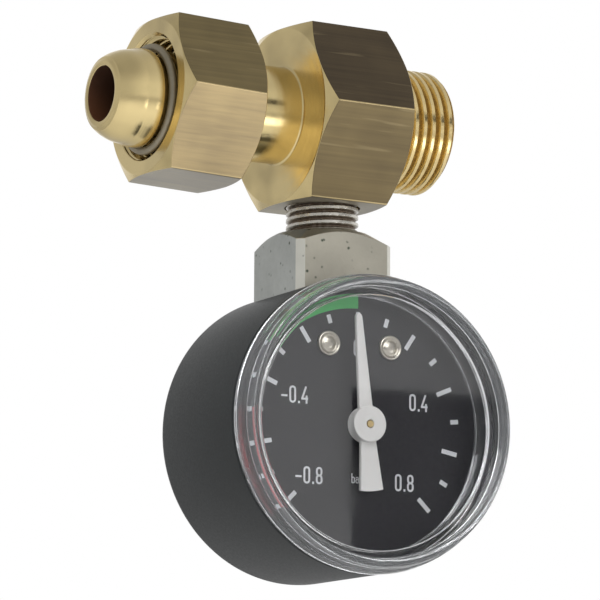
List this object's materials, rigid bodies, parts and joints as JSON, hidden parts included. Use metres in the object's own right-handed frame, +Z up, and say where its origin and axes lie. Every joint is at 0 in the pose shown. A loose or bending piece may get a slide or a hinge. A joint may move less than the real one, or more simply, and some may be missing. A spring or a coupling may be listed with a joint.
{
  "type": "suction line vacuum gauge",
  "caption": "Round dial gauge reading vacuum and pressure, hanging by a threaded square stem under a straight brass fitting with a loose union nut, ball nose and male thread.",
  "frame": {"origin": "centre of the flat end of the male pipe thread", "axes": "+X out of the male thread along the fitting, +Z up, away from the gauge; the dial faces -Y, turned 4.4 degrees about the stem"},
  "size_m": [0.0726, 0.0443, 0.0995],
  "materials": {
    "turned_brass": "turned and polished brass, drawn hexagon flats left as they come",
    "nickel_plate": "satin nickel plating with small dark marks",
    "spring_steel": "dull grey spring wire",
    "screw_steel": "plated steel",
    "movement_brass": "stamped brass",
    "tube_bronze": "drawn phosphor bronze",
    "case_black": "black satin moulding",
    "dial_grey": "matt dark paint with white print",
    "pointer_white": "white satin moulding",
    "window_clear": "clear polished moulding"
  },
  "bodies": {
    "gauge": {"fitting_body": "turned_brass", "gauge_stem": "nickel_plate", "restrictor_screw": "movement_brass", "case": "case_black", "window": "window_clear", "dial": "dial_grey", "dial_screw_left": "screw_steel", "dial_screw_right": "screw_steel", "dial_spacer_left": "movement_brass", "dial_spacer_right": "movement_brass", "movement_front_plate": "movement_brass", "movement_back_plate": "movement_brass", "pillar_left": "movement_brass", "pillar_right": "movement_brass", "movement_screw_lower": "screw_steel", "movement_screw_upper": "screw_steel", "case_screw_left": "screw_steel", "case_screw_right": "screw_steel", "bourdon_tube": "tube_bronze", "tube_end_piece": "movement_brass", "link_pin_upper": "screw_steel"},
    "ring": {"retaining_ring": "spring_steel"},
    "nut": {"union_nut": "turned_brass"},
    "sector": {"sector_gear": "movement_brass", "sector_arbor": "screw_steel", "link_pin_lower": "screw_steel"},
    "pointer_arbor": {"pinion_arbor": "movement_brass", "pointer": "pointer_white", "hairspring": "tube_bronze", "hairspring_collet": "movement_brass"},
    "link": {"link": "screw_steel"}
  },
  "joints": [
    {"name": "nut_spin", "type": "hinge", "parent": "gauge", "child": "ring", "pos_m": [-0.0581, 0, 0], "axis": [1, 0, 0], "continuous": true},
    {"name": "nut_slide", "type": "slide", "parent": "ring", "child": "nut", "axis": [1, 0, 0], "range_m": [-0.0112, 0.009]},
    {"name": "sector_swing", "type": "hinge", "parent": "gauge", "child": "sector", "pos_m": [-0.02286, -0.0136, -0.0696], "axis": [0.0774, 0.997, 0], "range_deg": [-16.2, 15.1], "stiffness_Nm_per_rad": 0.008},
    {"name": "pointer_turn", "type": "hinge", "parent": "gauge", "child": "pointer_arbor", "pos_m": [-0.02286, -0.0136, -0.0571], "axis": [0.0774, 0.997, 0], "range_deg": [-136, 146]},
    {"name": "link_swing", "type": "hinge", "parent": "sector", "child": "link", "pos_m": [-0.03083, -0.01298, -0.0696], "axis": [0.0774, 0.997, 0], "range_deg": [-17, 18.3]}
  ],
  "couplings": [
    {"joint": "pointer_turn", "follows": "sector_swing", "ratio": -9},
    {"joint": "link_swing", "follows": "sector_swing", "ratio": -1.12}
  ]
}
